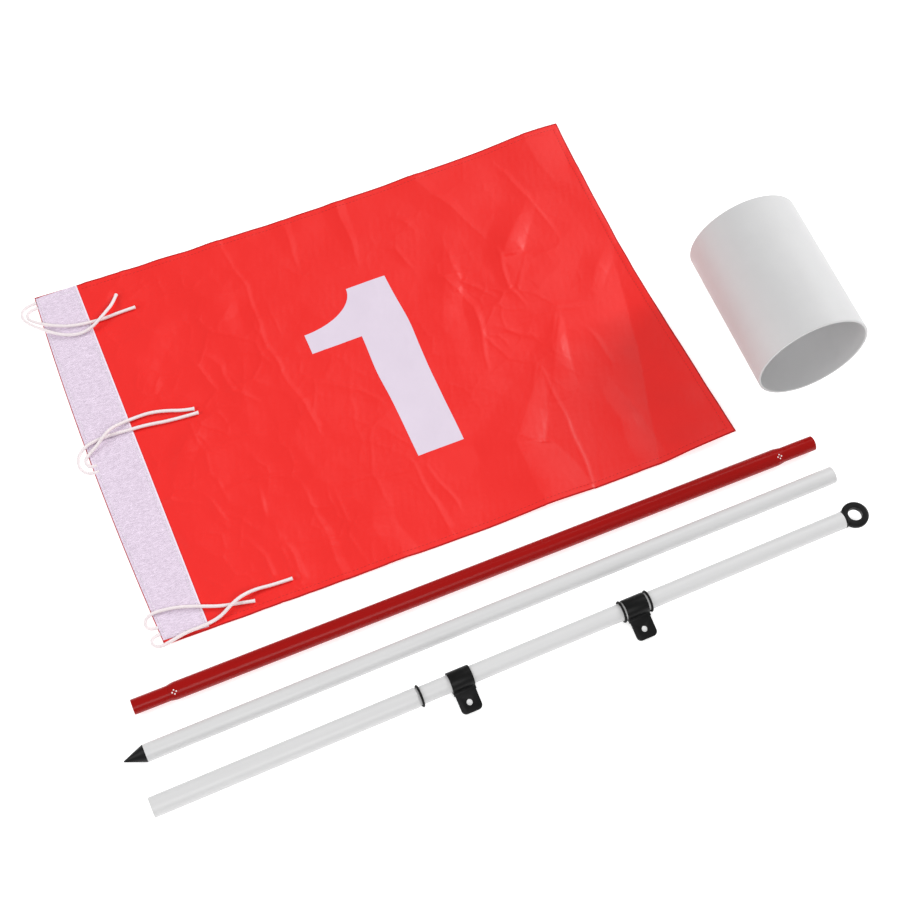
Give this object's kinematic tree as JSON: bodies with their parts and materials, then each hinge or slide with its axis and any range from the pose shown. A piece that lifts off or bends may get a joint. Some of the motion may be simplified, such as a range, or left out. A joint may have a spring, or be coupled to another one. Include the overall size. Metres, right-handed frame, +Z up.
{
  "type": "golf flagstick",
  "caption": "Knock-down backyard golf flagstick laid out flat: numbered flag with tie cords, sectional spiked pole with eye and strap clips, and an open hole sleeve.",
  "frame": {"origin": "middle of the laid-out kit's footprint, on the ground", "axes": "+Z up; +X along the pole sections, from the ground spike to the top eye; +Y from the poles towards the flag"},
  "size_m": [0.7023, 0.507, 0.101],
  "materials": {
    "flag_fabric": "satin woven polyester",
    "webbing": "ribbed woven tape",
    "numeral_film": "heat-pressed film",
    "cord": "braided cord",
    "red_paint": "gloss enamel",
    "white_paint": "satin enamel",
    "black_plastic": "moulded, fine satin",
    "black_rubber": "satin",
    "black_strap": "moulded, semi-gloss",
    "white_plastic": "satin extruded pipe"
  },
  "bodies": {
    "flag": {"flag_cloth": "flag_fabric", "header_webbing": "webbing", "flag_numeral": "numeral_film", "tie_top_a": "cord", "tie_top_b": "cord", "tie_middle_a": "cord", "tie_middle_b": "cord", "tie_bottom_a": "cord", "tie_bottom_b": "cord"},
    "middle_pole": {"middle_pole_tube": "red_paint", "middle_ferrule_low": "red_paint", "middle_ferrule_high": "red_paint"},
    "lower_pole": {"lower_pole_tube": "white_paint", "spike_tip": "black_plastic"},
    "upper_pole": {"upper_pole_tube": "white_paint", "eye_plug": "black_plastic"},
    "lower_ring": {"lower_stop_ring": "black_rubber"},
    "lower_clip": {"lower_clip": "black_strap"},
    "upper_ring_low": {"upper_stop_ring_low": "black_rubber"},
    "upper_ring_high": {"upper_stop_ring_high": "black_rubber"},
    "upper_clip": {"upper_clip": "black_strap"},
    "hole_sleeve": {"cup_sleeve": "white_plastic"}
  },
  "joints": [
    {"name": "middle_pole_lift", "type": "slide", "parent": "flag", "child": "middle_pole", "axis": [0, 0, 1], "range_m": [0, 0.2]},
    {"name": "lower_pole_lift", "type": "slide", "parent": "flag", "child": "lower_pole", "axis": [0, 0, 1], "range_m": [0, 0.2]},
    {"name": "upper_pole_lift", "type": "slide", "parent": "flag", "child": "upper_pole", "axis": [0, 0, 1], "range_m": [0, 0.2]},
    {"name": "sleeve_lift", "type": "slide", "parent": "flag", "child": "hole_sleeve", "axis": [0, 0, 1], "range_m": [0, 0.2]},
    {"name": "lower_ring_slide", "type": "slide", "parent": "upper_pole", "child": "lower_ring", "axis": [0.9999, 0.0148, 0], "range_m": [0, 0.12]},
    {"name": "lower_clip_swivel", "type": "hinge", "parent": "lower_ring", "child": "lower_clip", "pos_m": [-0.08463, -0.22696, 0.00935], "axis": [-0.9999, -0.0148, 0], "range_deg": [0, 210]},
    {"name": "upper_ring_slide", "type": "slide", "parent": "upper_pole", "child": "upper_ring_low", "axis": [0.9999, 0.0148, 0], "range_m": [-0.11, 0.16]},
    {"name": "upper_ring_high_slide", "type": "slide", "parent": "upper_pole", "child": "upper_ring_high", "axis": [0.9999, 0.0148, 0], "range_m": [-0.11, 0.16]},
    {"name": "upper_clip_swivel", "type": "hinge", "parent": "upper_ring_low", "child": "upper_clip", "pos_m": [0.06996, -0.22467, 0.00935], "axis": [-0.9999, -0.0148, 0], "range_deg": [0, 210]}
  ],
  "couplings": [
    {"joint": "upper_ring_high_slide", "follows": "upper_ring_slide", "ratio": 1}
  ]
}
